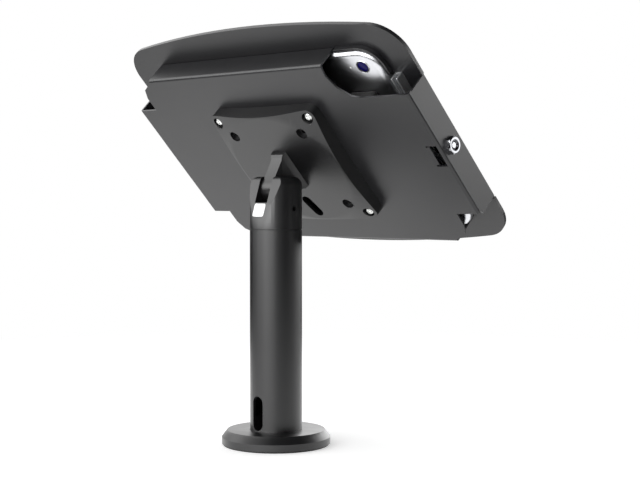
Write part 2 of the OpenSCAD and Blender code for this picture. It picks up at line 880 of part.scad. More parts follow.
// A very large cone that hollows one side of the plate, deeper at the back face
module side_cut() {
    chord = plate_half - plate_corner_r - curve_stop;
    deep_r = (chord * chord + side_dip * side_dip) / (2 * side_dip);
    centre = plate_half - side_dip + deep_r;
    slope = (side_dip - side_dip_low) / plate_depth;
    translate([centre, -plate_depth - past, 0])
        rotate([-90, 0, 0])
            cylinder(h = plate_depth + 2 * past, r1 = deep_r - slope * (plate_depth + past),
                r2 = deep_r + slope * past, $fn = wide_facets);
}

module vesa_screws() color([0.85, 0.85, 0.86]) {
    top = vesa_head_t - low_recess;
    in_plate()
        at_square(vesa_wide) {
            difference() {
                post([0, 0], recess_d - 2 * vesa_head_gap, top, vesa_head_t);
                post([0, 0], vesa_socket_d, top + past, vesa_head_t / 2 + past, $fn = 6);
            }
            post([0, 0], vesa_screw_d, -low_recess, tray_inner_depth - low_recess + clinch_h);
        }
}

// Tray

// Outline of the tray's flat back, up to where its bends begin
module tray_outline() {
    flat_w = tray_half_w - bend_r;
    flat_h = tray_half_h - bend_r;
    polygon([
        [-wall_half_w, flat_h],
        [window_top_u, flat_h],
        [window_top_u + window_side[0][0], tray_half_h - window_side[0][1]],
        [window_top_u + window_side[1][0], tray_half_h - window_side[1][1]],
        [window_top_u + window_side[2][0], tray_half_h - window_side[2][1]],
        [window_foot_u, window_low_v],
        [flat_w, window_low_v],
        [flat_w, -ear_half_h],
        [neck_half_w, -ear_half_h],
        [neck_half_w, -corner_low],
        [corner_u, -corner_v],
        [wall_half_w, -flat_h],
        [-wall_half_w, -flat_h],
        [-corner_u, -corner_v],
        [-neck_half_w, -corner_low],
        [-neck_half_w, -ear_half_h],
        [-flat_w, -ear_half_h],
        [-flat_w, ear_half_h],
        [-neck_half_w, ear_half_h],
        [-neck_half_w, corner_low],
        [-corner_u, corner_v]
    ]);
}

// A bend and its wall, running along X, with the outer face of the wall at Z = 0
module folded_wall(from_u, to_u, depth) {
    translate([from_u, 0, 0])
        rotate([90, 0, 90])
            linear_extrude(height = to_u - from_u) {
                difference() {
                    translate([-bend_r, -bend_r])
                        circle(r = bend_r);
                    translate([-bend_r, -bend_r])
                        circle(r = bend_r - sheet_t);
                    translate([-3 * bend_r, -3 * bend_r])
                        square([2 * bend_r, 4 * bend_r]);
                    translate([-3 * bend_r, -3 * bend_r])
                        square([4 * bend_r, 2 * bend_r]);
                }
                translate([-depth, -sheet_t])
                    square([depth - bend_r, sheet_t]);
            }
}

module rear_tray() color([0.17, 0.17, 0.18]) {
    in_plate() {
        difference() {
            union() {
                slab(tray_back, sheet_t)
                    tray_outline();
                tray_walls();
            }
            for (v = hook_v)
                translate([-tray_half_w - past, tray_back - hook_window_depth, v - hook_window_w / 2])
                    cube([sheet_t + past + eps, hook_window_depth + past, hook_window_w]);
            slab(tray_back + past, sheet_t + 2 * past)
                lock_tab_cut();
            post([0, -tray_cable_drop], tray_cable_d, tray_back + past, sheet_t + 2 * past);
            at_square(vesa_wide)
                post([0, 0], vesa_screw_d, tray_back + past, sheet_t + 2 * past);
            translate([0, lock_n, 0])
                rotate([0, 90, 0])
                    cylinder(h = 2 * tray_half_w, d = barrel_d);
        }
        lock_tab();
    }
}

// Bends and walls on all four sides, the upper one shortened by the camera window
module tray_walls() {
    translate([0, tray_back, tray_half_h])
        folded_wall(-wall_half_w, window_top_u, wall_depth);
    translate([0, tray_back, -tray_half_h])
        rotate([0, 180, 0])
            folded_wall(-wall_half_w, wall_half_w, wall_depth);
    translate([-tray_half_w, tray_back, 0])
        rotate([0, -90, 0])
            folded_wall(-ear_half_h, ear_half_h, wall_depth);
    translate([tray_half_w, tray_back, 0])
        rotate([0, 90, 0])
            folded_wall(-window_low_v, ear_half_h, bend_r + wall_strip);
    translate([wall_in_u, 0, 0])
        rotate([90, 0, 90])
            linear_extrude(height = sheet_t)
                polygon([
                    [tray_back - bend_r - wall_strip / 2, lock_wall_high - wall_strip / 2],
                    [tray_back - bend_r - wall_strip, lock_wall_high],
                    [frame_front + wall_end_gap, lock_wall_high],
                    [frame_front + wall_end_gap, -lock_wall_low],
                    [tray_back - bend_r - wall_strip, -lock_wall_low],
                    [tray_back - bend_r - wall_strip / 2, -ear_half_h]
                ]);
}

// The cut-out beside the fold, level with the lock
module lock_tab_cut() {
    fold_u = tray_half_w - bend_r;
    translate([fold_u - tab_len, -tab_reach[1]])
        square([tab_len, tab_reach[0] + tab_reach[1]]);
}

// The tab that is left in the cut-out, bent into the case
module lock_tab() {
    fold_u = tray_half_w - bend_r;
    translate([fold_u - tab_len, tray_back, slit_w - tab_reach[1]])
        rotate([0, 0, -tab_bend])
            translate([-eps, -sheet_t, 0])
                cube([tab_len - tab_gap, sheet_t, tab_reach[0] + tab_reach[1] - 2 * slit_w]);
}

module tray_clinch_nuts() color([0.7, 0.7, 0.72]) {
    in_plate()
        at_square(vesa_wide)
            difference() {
                post([0, 0], clinch_d, tray_inner, clinch_h);
                post([0, 0], vesa_screw_d, tray_inner + past, clinch_h + 2 * past);
            }
}

module tray_foam_pads() color([0.08, 0.08, 0.08]) {
    in_plate()
        for (side = [-1, 1], level = [-1, 1])
            translate([side * foam_at[0], 0, level * foam_at[1]])
                slab(tray_inner, tray_inner - tablet_back - swing_gap)
                    round_rect(foam_pad[0] / 2, foam_pad[1] / 2, foam_r);
}

// Lock

// A round piece on the lock's axis, from its inner end outwards
module on_lock(from_u, len, d) {
    translate([from_u, lock_n, 0])
        rotate([0, 90, 0])
            cylinder(h = len, d = d);
}

module lock_barrel() color([0.8, 0.8, 0.82]) {
    in_plate()
        difference() {
            union() {
                on_lock(barrel_end_u, barrel_len + sheet_t, barrel_d);
                lock_collar();
            }
            on_lock(barrel_end_u - past, barrel_len + sheet_t + collar_h + 2 * past,
                plug_d + 2 * run_fit);
        }
}

// Six-sided against the wall, and round where its corners are turned off at the face
module lock_collar() {
    face_r = collar_d / 2 - collar_chamfer;
    translate([tray_half_w, lock_n, 0])
        rotate([0, 90, 0])
            intersection() {
                rotate(collar_turn)
                    cylinder(h = collar_h, d = collar_d, $fn = 6);
                translate([0, 0, -past])
                    cylinder(h = collar_h + past, r1 = face_r + collar_h + past, r2 = face_r);
            }
}

module lock_nut() color([0.7, 0.7, 0.72]) {
    in_plate()
        translate([wall_in_u - lock_nut_t, lock_n, 0])
            rotate([0, 90, 0])
                difference() {
                    cylinder(h = lock_nut_t, d = lock_nut_af / cos(30), $fn = 6);
                    translate([0, 0, -past])
                        cylinder(h = lock_nut_t + 2 * past, d = barrel_d);
                }
}

module lock_plug() color([0.82, 0.82, 0.84]) {
    face_u = tray_half_w + collar_h - plug_sink;
    in_plate()
        difference() {
            on_lock(cam_u + cam_t, face_u - cam_u - cam_t, plug_d);
            difference() {
                on_lock(face_u - key_depth, key_depth + past, plug_d - 2 * key_rim);
                on_lock(face_u - key_depth - past, key_depth + 3 * past, plug_d - 2 * key_post);
            }
        }
}

module lock_cam() color([0.65, 0.65, 0.67]) {
    in_plate()
        difference() {
            union() {
                on_lock(cam_u, cam_t, plug_d);
                translate([cam_u, lock_n - cam_reach, -cam_w / 2])
                    cube([cam_t, cam_reach, cam_w]);
            }
            on_lock(cam_u - past, cam_t + 2 * past, cam_screw_d);
        }
}

module lock_cam_screw() color([0.7, 0.7, 0.72]) {
    in_plate() {
        on_lock(cam_u, cam_t, cam_screw_d);
        on_lock(cam_u - cam_screw_head_t, cam_screw_head_t, 2 * cam_screw_d);
    }
}

// Frame

// The frame's outline: round corners, straight sides and bowed upper and lower edges
module frame_outline() {
    arc_u = frame_half_w - frame_corner_r;
    bow_centre = frame_half_h - bow_r;
    arc_v = bow_centre + sqrt(pow(bow_r - frame_corner_r, 2) - pow(arc_u, 2));
    bow_turn = asin(arc_u / (bow_r - frame_corner_r));
    bow_half_w = bow_r * sin(bow_turn) - curve_stop;
    square([2 * frame_half_w, 2 * arc_v], center = true);
    square([2 * arc_u, 2 * arc_v + 2 * frame_corner_r * cos(bow_turn)], center = true);
    for (su = [-1, 1], sv = [-1, 1])
        translate([su * arc_u, sv * arc_v])
            circle(r = frame_corner_r);
    for (turn = [0, 180])
        rotate(turn)
            intersection() {
                translate([0, bow_centre])
                    circle(r = bow_r, $fn = 4 * wide_facets);
                translate([-bow_half_w, 0])
                    square([2 * bow_half_w, frame_half_h + past]);
            }
}

module front_frame() color([0.15, 0.15, 0.16]) {
    in_plate()
        difference() {
            translate([0, 0, frame_rise])
                slab(frame_back, frame_t)
                    frame_outline();
            slab(frame_back + past, frame_t + 2 * past)
                round_rect(screen_half_w, screen_half_h, window_r);
            translate([wall_in_u - swing_gap, frame_front - past, -lock_wall_low - recess_end_gap])
                cube([
                    frame_half_w - wall_in_u + swing_gap + past,
                    frame_t + 2 * past,
                    lock_wall_low + lock_wall_high + 2 * recess_end_gap
                ]);
        }
}

module frame_hooks() color([0.17, 0.17, 0.18]) {
    hook_w = hook_window_w - 2 * hook_play;
    arm_u = hook_gap - wall_in_u;
    lip_u = -tray_half_w - hook_reach;
    lip_n = tray_back - hook_drop;
    in_plate()
        for (v = hook_v)
            translate([0, 0, v - hook_w / 2]) {
                translate([arm_u, frame_back, 0])
                    cube([sheet_t, lip_n - frame_back, hook_w]);
                translate([lip_u, lip_n - sheet_t, 0])
                    cube([arm_u + sheet_t / 2 - lip_u, sheet_t, hook_w]);
                translate([arm_u + sheet_t / 2, frame_back, 0])
                    cube([sheet_t / 2 + hook_foot, sheet_t, hook_w]);
            }
}

module lock_channel() color([0.85, 0.85, 0.84]) {
    in_plate() {
        difference() {
            translate([channel_u - channel_w / 2, frame_back, -channel_reach])
                cube([channel_w, channel_h, 2 * channel_reach]);
            translate([channel_u - channel_w / 2 + channel_t, frame_back + channel_t,
                -channel_reach - past])
                cube([channel_w - 2 * channel_t, channel_h, 2 * channel_reach + 2 * past]);
        }
        lock_catch();
    }
}

// The catch beside the channel: a foot, a post, and a lip that the turned cam holds down
module lock_catch() {
    lip_n = lock_n + cam_w / 2 + catch_gap;
    foot_u = channel_u + channel_w / 2 - eps;
    translate([foot_u, frame_back, catch_post_v - catch_foot])
        cube([catch_u + catch_w - foot_u, catch_t, catch_post_t + 2 * catch_foot]);
    translate([catch_u, frame_back, catch_post_v])
        cube([catch_w, lip_n + catch_t - frame_back, catch_post_t]);
    translate([catch_u, lip_n, catch_low_v])
        cube([catch_w, catch_t, catch_post_v + catch_post_t - catch_low_v]);
}

module frame_gasket() color([0.05, 0.05, 0.05]) {
    in_plate()
        difference() {
            slab(frame_back + gasket_t, gasket_t)
                round_rect(screen_half_w + gasket_w, screen_half_h + gasket_w, window_r);
            slab(frame_back + gasket_t + past, gasket_t + 2 * past)
                round_rect(screen_half_w + gasket_step, screen_half_h + gasket_step, window_r);
        }
}

// Tablet

module tablet_body() color([0.75, 0.76, 0.78]) {
    in_plate()
        difference() {
            slab(tablet_back, tablet_t - eps)
                round_rect(tablet_half_w, tablet_half_h, tablet_r);
            slab(tablet_front + glass_t, glass_t + past)
                round_rect(tablet_half_w - glass_rim, tablet_half_h - glass_rim, tablet_r - glass_rim);
            post(lens_at, 2 * lens_out_r, tablet_back + past, lens_seat + past);
        }
}

module tablet_glass() color([0.02, 0.02, 0.03]) {
    in_plate()
        slab(tablet_front + glass_t, glass_t)
            round_rect(tablet_half_w - glass_rim, tablet_half_h - glass_rim, tablet_r - glass_rim);
}

module tablet_camera_ring() color([0.8, 0.8, 0.82]) {
    in_plate()
        difference() {
            post(lens_at, 2 * lens_out_r, tablet_back + lens_ring_h, lens_seat + lens_ring_h);
            post(lens_at, lens_d, tablet_back + lens_ring_h + past, lens_seat + lens_ring_h + 2 * past);
        }
}

module tablet_lens() color([0.1, 0.1, 0.4]) {
    in_plate()
        post(lens_at, lens_d, tablet_back + lens_ring_h / 2, lens_seat + lens_ring_h / 2);
}

base_flange();
base_pad();
base_screws();
pole_foot_plug();
pole_tube();
pole_head_plug();
swivel_thrust_washer();
swivel_head();
swivel_bolt();
swivel_flat_washer();
swivel_spring_washers();
swivel_stop_pin();
swivel_lock_screw();
tilt_bolt();
tilt_friction_washers();
head_label();
tilt_arm();
arm_screws();
vesa_plate();
vesa_screws();
tray_clinch_nuts();
rear_tray();
tray_foam_pads();
lock_barrel();
lock_nut();
lock_plug();
lock_cam();
lock_cam_screw();
front_frame();
frame_hooks();
lock_channel();
frame_gasket();
tablet_body();
tablet_glass();
tablet_camera_ring();
tablet_lens();
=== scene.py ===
# %% [markdown]
# # A tablet kiosk stand, dressed for its portrait
# The construction model already holds every solid of this stand in its real place: a base flange, a pole, a
# swivel head with a tilt arm, a cast plate, a folded tray with a cam lock, a broad front frame and the tablet
# between them. This lesson gives those solids the edges and finishes that the eye expects. It starts from the
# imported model, which loads as a fixed frame in metres, so a new piece needs no fitting.

# %% Load the frame
import json
import math

import bmesh
import bpy
from mathutils import Matrix, Vector


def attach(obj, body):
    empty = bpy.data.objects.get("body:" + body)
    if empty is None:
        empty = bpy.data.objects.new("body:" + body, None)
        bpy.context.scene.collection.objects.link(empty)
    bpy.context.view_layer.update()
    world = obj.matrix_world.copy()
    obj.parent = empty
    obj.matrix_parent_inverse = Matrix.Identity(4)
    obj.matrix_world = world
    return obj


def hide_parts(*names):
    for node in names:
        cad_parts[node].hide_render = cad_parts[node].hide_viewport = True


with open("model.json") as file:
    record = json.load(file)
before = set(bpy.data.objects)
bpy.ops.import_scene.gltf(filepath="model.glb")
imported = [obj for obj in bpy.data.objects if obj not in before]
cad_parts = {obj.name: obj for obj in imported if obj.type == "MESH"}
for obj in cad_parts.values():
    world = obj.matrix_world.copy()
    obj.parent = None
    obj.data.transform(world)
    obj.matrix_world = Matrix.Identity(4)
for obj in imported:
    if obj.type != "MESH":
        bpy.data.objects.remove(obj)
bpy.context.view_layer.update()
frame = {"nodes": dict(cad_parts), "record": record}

# %% [markdown]
# The enclosure leans back, so its pieces are easier to build in their own space: x runs across, y points out of
# the plate's back face, and z runs up along the plate. One matrix carries that space to the stand's own. Its
# turn is the tilt of the arm and its origin is the middle of the plate's back face.

# %% The leaning space of the enclosure
TILT_DEG = 44.3
PIVOT_Z_MM = 203.0
PLATE_OFF_MM = 22.5
PLATE_DROP_MM = 1.2


def mm(*values):
    """Millimetres as metres: one number, or a vector of three."""
    return values[0] / 1000 if len(values) == 1 else Vector(v / 1000 for v in values)


plate_space = (
    Matrix.Translation(mm(0, 0, PIVOT_Z_MM))
    @ Matrix.Rotation(math.radians(-TILT_DEG), 4, "X")
    @ Matrix.Translation(mm(0, -PLATE_OFF_MM, -PLATE_DROP_MM))
)
print("the plate's back face is centred at", [round(c, 4) for c in plate_space.translation])

# %% [markdown]
# ## Finishes
# Every finish is a small node tree. Four helpers keep the trees readable: one turns a colour written as a web
# hex value into the linear light that the shader wants, one adds a node with its settings and its links, one
# starts a material with its main shader and a vector that measures real distances on the piece, and one turns
# the size of a pattern into its scale.

# %% Helpers for materials
def linear(hex_colour):
    """sRGB hex to linear RGBA."""
    parts = [int(hex_colour[i : i + 2], 16) / 255 for i in (1, 3, 5)]
    return tuple(c / 12.92 if c <= 0.04045 else ((c + 0.055) / 1.055) ** 2.4 for c in parts) + (1.0,)


def add(tree, kind, inputs=(), **settings):
    """Adds a node with its own settings. inputs gives a value or a link for a socket's name or number."""
    node = tree.nodes.new(kind)
    for name, value in settings.items():
        setattr(node, name, value)
    for socket, value in dict(inputs).items():
        if isinstance(value, bpy.types.NodeSocket):
            tree.links.new(value, node.inputs[socket])
        else:
            node.inputs[socket].default_value = value
    return node


def new_finish(name, **values):
    """Starts a material and sets plain values. Returns the material, its tree, its shader and its place."""
    material = bpy.data.materials.new(name)
    material.use_nodes = True
    tree = material.node_tree
    shader = tree.nodes["Principled BSDF"]
    for socket, value in values.items():
        shader.inputs[socket.replace("_", " ")].default_value = value
    place = add(tree, "ShaderNodeTexCoord").outputs["Object"]
    return material, tree, shader, place


def per_mm(size_mm):
    """The scale that makes a pattern repeat about once in size_mm on Object coordinates in metres."""
    return 1000.0 / size_mm


print("a pattern of 1 mm has scale", per_mm(1))

# %% [markdown]
# ### Satin powder coat
# The pole, head, plate, tray and frame are steel and cast aluminium under a baked charcoal powder. Melted powder
# has a faint orange-peel skin, ripples of a few tenths of a millimetre that are only microns deep. They are too
# fine for this picture, so they are drawn at 0.9 mm. The colour is nearly black. What the eye reads as grey is
# the satin sheen, so the roughness matters more than the colour, and it drifts a little from place to place.

# %% Powder coat
CLOUD_MM = 55
PEEL_MM = 0.9


def powder_coat(name, colour, light_colour, roughness):
    """A dark satin coat that clouds from one colour to the other, with a fine orange-peel bump."""
    material, tree, shader, place = new_finish(name, Roughness=roughness, IOR=1.5)
    cloud = add(
        tree,
        "ShaderNodeTexNoise",
        {"Vector": place, "Scale": per_mm(CLOUD_MM), "Detail": 3.0, "Roughness": 0.55},
    )
    tint = add(
        tree,
        "ShaderNodeMix",
        {"Factor": cloud.outputs["Fac"], 6: linear(colour), 7: linear(light_colour)},
        data_type="RGBA",
    )
    tree.links.new(tint.outputs[2], shader.inputs["Base Color"])
    sheen_drift = add(
        tree,
        "ShaderNodeMapRange",
        {"Value": cloud.outputs["Fac"], 3: roughness - 0.03, 4: roughness + 0.04},
    )
    tree.links.new(sheen_drift.outputs[0], shader.inputs["Roughness"])
    peel = add(
        tree,
        "ShaderNodeTexNoise",
        {"Vector": place, "Scale": per_mm(PEEL_MM), "Detail": 2.0, "Roughness": 0.5},
    )
    ripple = add(
        tree,
        "ShaderNodeBump",
        {"Height": peel.outputs["Fac"], "Strength": 0.12, "Distance": mm(0.05)},
    )
    tree.links.new(ripple.outputs[0], shader.inputs["Normal"])
    return material


sheet_coat = powder_coat("satin_powder_coat_on_sheet_steel", "#151517", "#19191b", 0.36)
cast_coat = powder_coat("satin_powder_coat_on_castings", "#131314", "#171718", 0.32)
print("powder coats:", sheet_coat.name, cast_coat.name)

# %% [markdown]
# ### Bright metals
# The lock is chrome plated: almost a mirror, with a faint unevenness from polishing. The screws are zinc plated,
# a softer silver with faint cloudy crystals. The zinc on the channel beside the tablet has gone matt and a little
# chalky, so it isn't a pure metal. Hidden bolts and plugs are plain turned steel, where the tool leaves a fine
# grain, drawn here at 0.5 mm. A metal keeps the default IOR.

# %% Chrome, zinc and turned steel
def metal(name, colour, roughness, cloud_mm, spread, bump, metallic=1.0):
    """A metal whose roughness drifts by spread either way, over clouds that also give it a slight bump."""
    material, tree, shader, place = new_finish(name, Metallic=metallic, Base_Color=linear(colour))
    cloud = add(
        tree,
        "ShaderNodeTexNoise",
        {"Vector": place, "Scale": per_mm(cloud_mm), "Detail": 4.0, "Roughness": 0.6},
    )
    drift = add(
        tree,
        "ShaderNodeMapRange",
        {"Value": cloud.outputs["Fac"], 3: roughness - spread, 4: roughness + spread},
    )
    tree.links.new(drift.outputs[0], shader.inputs["Roughness"])
    grain = add(
        tree,
        "ShaderNodeBump",
        {"Height": cloud.outputs["Fac"], "Strength": bump, "Distance": mm(0.02)},
    )
    tree.links.new(grain.outputs[0], shader.inputs["Normal"])
    return material


lock_chrome = metal("polished_chrome_plate", "#909194", 0.10, 0.8, 0.03, 0.04)
zinc_plate = metal("bright_zinc_plate", "#d3d4d2", 0.27, 3.0, 0.06, 0.10)
channel_zinc = metal("matt_zinc_plate_on_rolled_channel", "#c8c9cb", 0.38, 6.0, 0.04, 0.05, metallic=0.9)
turned_steel = metal("turned_steel", "#b4b5b8", 0.32, 0.5, 0.08, 0.15)
print("metals:", lock_chrome.name, zinc_plate.name, channel_zinc.name, turned_steel.name)

# %% [markdown]
# ### Black oxide, nylon, rubber and foam
# The small grub screw is blackened steel, dark with a thin oily shine. The washers are nylon, which is waxy.
# The base pad and the seal round the screen are moulded rubber, matt with a fine grain. The pads behind the
# tablet are closed-cell foam, whose cut cells of about 0.6 mm make tiny pits.

# %% Black oxide and soft blacks
def grained(name, colour, light_colour, roughness, grain_mm, bump, depth_mm, **values):
    """A matt finish with grains of grain_mm, which are depth_mm deep and a shade lighter at their edges."""
    material, tree, shader, place = new_finish(name, Roughness=roughness, **values)
    grain = add(
        tree,
        "ShaderNodeTexVoronoi",
        {"Vector": place, "Scale": per_mm(grain_mm)},
        feature="SMOOTH_F1",
    )
    tint = add(
        tree,
        "ShaderNodeMix",
        {"Factor": grain.outputs["Distance"], 6: linear(colour), 7: linear(light_colour)},
        data_type="RGBA",
    )
    tree.links.new(tint.outputs[2], shader.inputs["Base Color"])
    relief = add(
        tree,
        "ShaderNodeBump",
        {"Height": grain.outputs["Distance"], "Strength": bump, "Distance": mm(depth_mm)},
    )
    tree.links.new(relief.outputs[0], shader.inputs["Normal"])
    return material


black_oxide = grained("black_oxide_on_steel", "#151516", "#202021", 0.36, 0.4, 0.15, 0.02, Metallic=0.6)
black_nylon = grained("moulded_black_nylon", "#121213", "#1b1b1c", 0.50, 0.5, 0.12, 0.02)
moulded_rubber = grained("moulded_black_rubber", "#101010", "#1a1a1a", 0.78, 0.4, 0.35, 0.03)
cell_foam = grained("closed_cell_foam", "#0e0e0e", "#1d1d1d", 0.92, 0.6, 0.8, 0.15)
print("soft blacks:", black_oxide.name, black_nylon.name, moulded_rubber.name, cell_foam.name)

# %% [markdown]
# ### The tablet's aluminium, glass and lens
# The tablet's shell is bead-blasted and anodised, an even silver with a sparkle finer than a tenth of a
# millimetre, drawn at 0.35 mm. Its front is one sheet of dark glass, and the display behind it is a shade lighter
# than the border. The camera sits under a domed lens whose coating throws back deep blue.

# %% Aluminium
BLAST_MM = 0.35

anodised, tree, shader, place = new_finish("bead_blasted_anodised_aluminium", Metallic=1.0)
blast = add(
    tree,
    "ShaderNodeTexNoise",
    {"Vector": place, "Scale": per_mm(BLAST_MM), "Detail": 1.0},
)
silver = add(
    tree,
    "ShaderNodeMix",
    {"Factor": blast.outputs["Fac"], 6: linear("#c9cacd"), 7: linear("#d6d7da")},
    data_type="RGBA",
)
tree.links.new(silver.outputs[2], shader.inputs["Base Color"])
shader.inputs["Roughness"].default_value = 0.30
sparkle = add(
    tree,
    "ShaderNodeBump",
    {"Height": blast.outputs["Fac"], "Strength": 0.15, "Distance": mm(0.02)},
)
tree.links.new(sparkle.outputs[0], shader.inputs["Normal"])
print("shell finish:", anodised.name)

# %% Screen glass
# The border and the display part at a rectangle, worked out from the distance to the screen's middle.
SCREEN_HALF_W_MM = 112.4
SCREEN_HALF_H_MM = 78.0

screen_glass, tree, shader, place = new_finish("black_display_glass", Roughness=0.06, IOR=1.52)
in_plate = add(
    tree,
    "ShaderNodeMapping",
    {"Vector": place, "Rotation": (math.radians(TILT_DEG), 0, 0)},
    vector_type="POINT",
)
middle_up = PIVOT_Z_MM * math.cos(math.radians(TILT_DEG)) - PLATE_DROP_MM
apart = add(tree, "ShaderNodeSeparateXYZ", {0: in_plate.outputs[0]})
across = add(tree, "ShaderNodeMath", {0: apart.outputs["X"]}, operation="ABSOLUTE")
up = add(tree, "ShaderNodeMath", {0: apart.outputs["Z"], 1: mm(middle_up)}, operation="SUBTRACT")
up = add(tree, "ShaderNodeMath", {0: up.outputs[0]}, operation="ABSOLUTE")
in_w = add(tree, "ShaderNodeMath", {0: across.outputs[0], 1: mm(SCREEN_HALF_W_MM)}, operation="LESS_THAN")
in_h = add(tree, "ShaderNodeMath", {0: up.outputs[0], 1: mm(SCREEN_HALF_H_MM)}, operation="LESS_THAN")
on_display = add(tree, "ShaderNodeMath", {0: in_w.outputs[0], 1: in_h.outputs[0]}, operation="MULTIPLY")
black = add(
    tree,
    "ShaderNodeMix",
    {"Factor": on_display.outputs[0], 6: linear("#08080a"), 7: linear("#131418")},
    data_type="RGBA",
)
tree.links.new(black.outputs[2], shader.inputs["Base Color"])
print("the screen's middle lies", round(middle_up, 2), "mm up the turned axis")

# %% Lens glass
lens_glass, tree, shader, place = new_finish(
    "coated_lens_glass", Roughness=0.12, IOR=1.5, Specular_IOR_Level=0.22, Base_Color=linear("#090644")
)
shader.inputs["Specular Tint"].default_value = linear("#342db4")
lens_black = grained("black_lens_seat", "#060607", "#0c0c0d", 0.35, 0.5, 0.05, 0.01)
label_film = grained("blank_label_film", "#eceeee", "#f4f4f4", 0.34, 1.2, 0.05, 0.01)
print("glass:", screen_glass.name, lens_glass.name)

# %% Give each solid its finish
FINISH_OF_SLOT = {
    "powder_coat": sheet_coat,
    "rubber_pad": moulded_rubber,
    "zinc_steel": zinc_plate,
    "plain_steel": turned_steel,
    "black_steel": black_oxide,
    "black_nylon": black_nylon,
    "blank_label": label_film,
    "black_foam": cell_foam,
    "lock_chrome": lock_chrome,
    "tablet_aluminium": anodised,
    "tablet_glass": screen_glass,
    "camera_lens": lens_glass,
}
CAST_OR_TURNED = ("base_flange", "swivel_head", "tilt_arm", "vesa_plate", "pole_tube")
slot_of_node = {s["node"]: s["material_slot"] for s in frame["record"]["subparts"]}
body_of_node = {n: b for b, nodes in frame["record"]["behaviour"]["bodies"].items() for n in nodes}


def finish_of(node):
    """The channel and the thick coated pieces have their own finish, the rest that of their slot."""
    if node == "lock_channel":
        return channel_zinc
    return cast_coat if node in CAST_OR_TURNED else FINISH_OF_SLOT[slot_of_node[node]]


for name, solid in frame["nodes"].items():
    for slot in solid.material_slots:
        slot.material = finish_of(name)
print(len(slot_of_node), "solids dressed in", len(set(slot_of_node.values())), "finishes")

# %% [markdown]
# ## Softer edges
# No real edge is perfectly sharp: sheet steel is deburred, castings come out of the mould with a small radius,
# and the coat rounds both a little more. Light catches on that radius, and a model without it looks cut from
# paper. A copy of each visible solid has its loose triangles merged and its flat faces joined, and then a Bevel
# modifier rounds what is still sharp. The radius is the real one, in millimetres. The tray's back is one large
# face with many holes, so its shading is evened out afterwards, or lines would show between the holes.

# %% Hang a finished piece on its body
def finish_piece(piece, node, material, smooth_deg=35):
    """Gives a new mesh its material, its smooth faces, and the body of its node."""
    piece.data.materials.clear()
    piece.data.materials.append(material)
    for face in piece.data.polygons:
        face.use_smooth = True
    piece.data.set_sharp_from_angle(angle=math.radians(smooth_deg))
    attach(piece, body_of_node[node])
    return piece


def from_bmesh(name, work, space=None):
    """A bmesh as a new object whose place is in its mesh."""
    if space is not None:
        bmesh.ops.transform(work, matrix=space, verts=work.verts)
    mesh = bpy.data.meshes.new(name)
    work.to_mesh(mesh)
    work.free()
    piece = bpy.data.objects.new(name, mesh)
    bpy.context.scene.collection.objects.link(piece)
    return piece


print("pieces ride on", sorted(set(body_of_node.values())))

# %% Merge a solid's triangles and round its edges
SHARP_DEG = 40


def merged_copy(node, flat_deg=0.4):
    """The solid's triangles as one closed skin. Neighbours that turn less than flat_deg are joined."""
    work = bmesh.new()
    work.from_mesh(frame["nodes"][node].data)
    work.transform(frame["nodes"][node].matrix_world)
    bmesh.ops.remove_doubles(work, verts=work.verts, dist=1e-6)
    bmesh.ops.dissolve_degenerate(work, dist=1e-6, edges=work.edges)
    bmesh.ops.dissolve_limit(
        work, angle_limit=math.radians(flat_deg), verts=work.verts, edges=work.edges
    )
    return work


def round_edges(piece, radius_mm):
    """Rounds what is still sharp, without touching the mesh itself."""
    bevel = piece.modifiers.new("rounded_edges", "BEVEL")
    bevel.width = mm(radius_mm)
    bevel.segments = 2
    bevel.limit_method = "ANGLE"
    bevel.angle_limit = math.radians(SHARP_DEG)
    bevel.use_clamp_overlap = True
    bevel.harden_normals = True
    return piece


def shade_evenly(piece):
    """Lets large flat faces set the shading of the small ones beside them."""
    piece.modifiers["rounded_edges"].harden_normals = False
    even = piece.modifiers.new("even_shading", "WEIGHTED_NORMAL")
    even.keep_sharp = True
    even.weight = 100


print("edges sharper than", SHARP_DEG, "degrees are rounded")

# %% Rounded copies of the coated pieces
EDGE_RADIUS_MM = {
    "base_flange": 0.5,
    "base_pad": 0.3,
    "pole_tube": 0.35,
    "swivel_head": 0.5,
    "tilt_arm": 0.5,
    "rear_tray": 0.25,
    "front_frame": 0.5,
    "lock_channel": 0.2,
    "frame_hooks": 0.25,
}
for node, radius in EDGE_RADIUS_MM.items():
    piece = from_bmesh(node + "_finished", merged_copy(node))
    finish_piece(piece, node, finish_of(node))
    round_edges(piece, radius)
    if node == "rear_tray":
        shade_evenly(piece)
    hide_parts(node)
    print(piece.name, "faces", len(piece.data.polygons), "edge radius", radius, "mm")

# %% [markdown]
# ### The cast plate
# The monitor plate is a casting, and its rear edge is rounder than the rest: the lamp draws one soft bright line
# along it. That edge is picked by its two faces, one looking out of the back and one looking sideways, and it is
# bevelled in the mesh before the modifier takes the others. The back falls away slightly at its corners, so only
# faces that are truly flat are joined in this copy.

# %% Plate with a rounder rear edge
REAR_EDGE_MM = 1.3
OTHER_EDGES_MM = 0.4
PLATE_HALF_MM = 57.3
RIM_REACH_MM = 4
RIM_DEPTH_MM = 6

plate = merged_copy("vesa_plate", flat_deg=0.05)
out_of_back = (plate_space.to_3x3() @ Vector((0, 1, 0))).normalized()
to_plate = plate_space.inverted()


def on_rim(edge):
    """True for an edge between the plate's back and one of its sides."""
    if len(edge.link_faces) != 2:
        return False
    facing = sorted(abs(face.normal.dot(out_of_back)) for face in edge.link_faces)
    middle = to_plate @ ((edge.verts[0].co + edge.verts[1].co) / 2)
    at_side = max(abs(middle.x), abs(middle.z)) > mm(PLATE_HALF_MM - RIM_REACH_MM)
    return at_side and facing[0] < 0.5 < 0.9 < facing[1] and middle.y > mm(-RIM_DEPTH_MM)


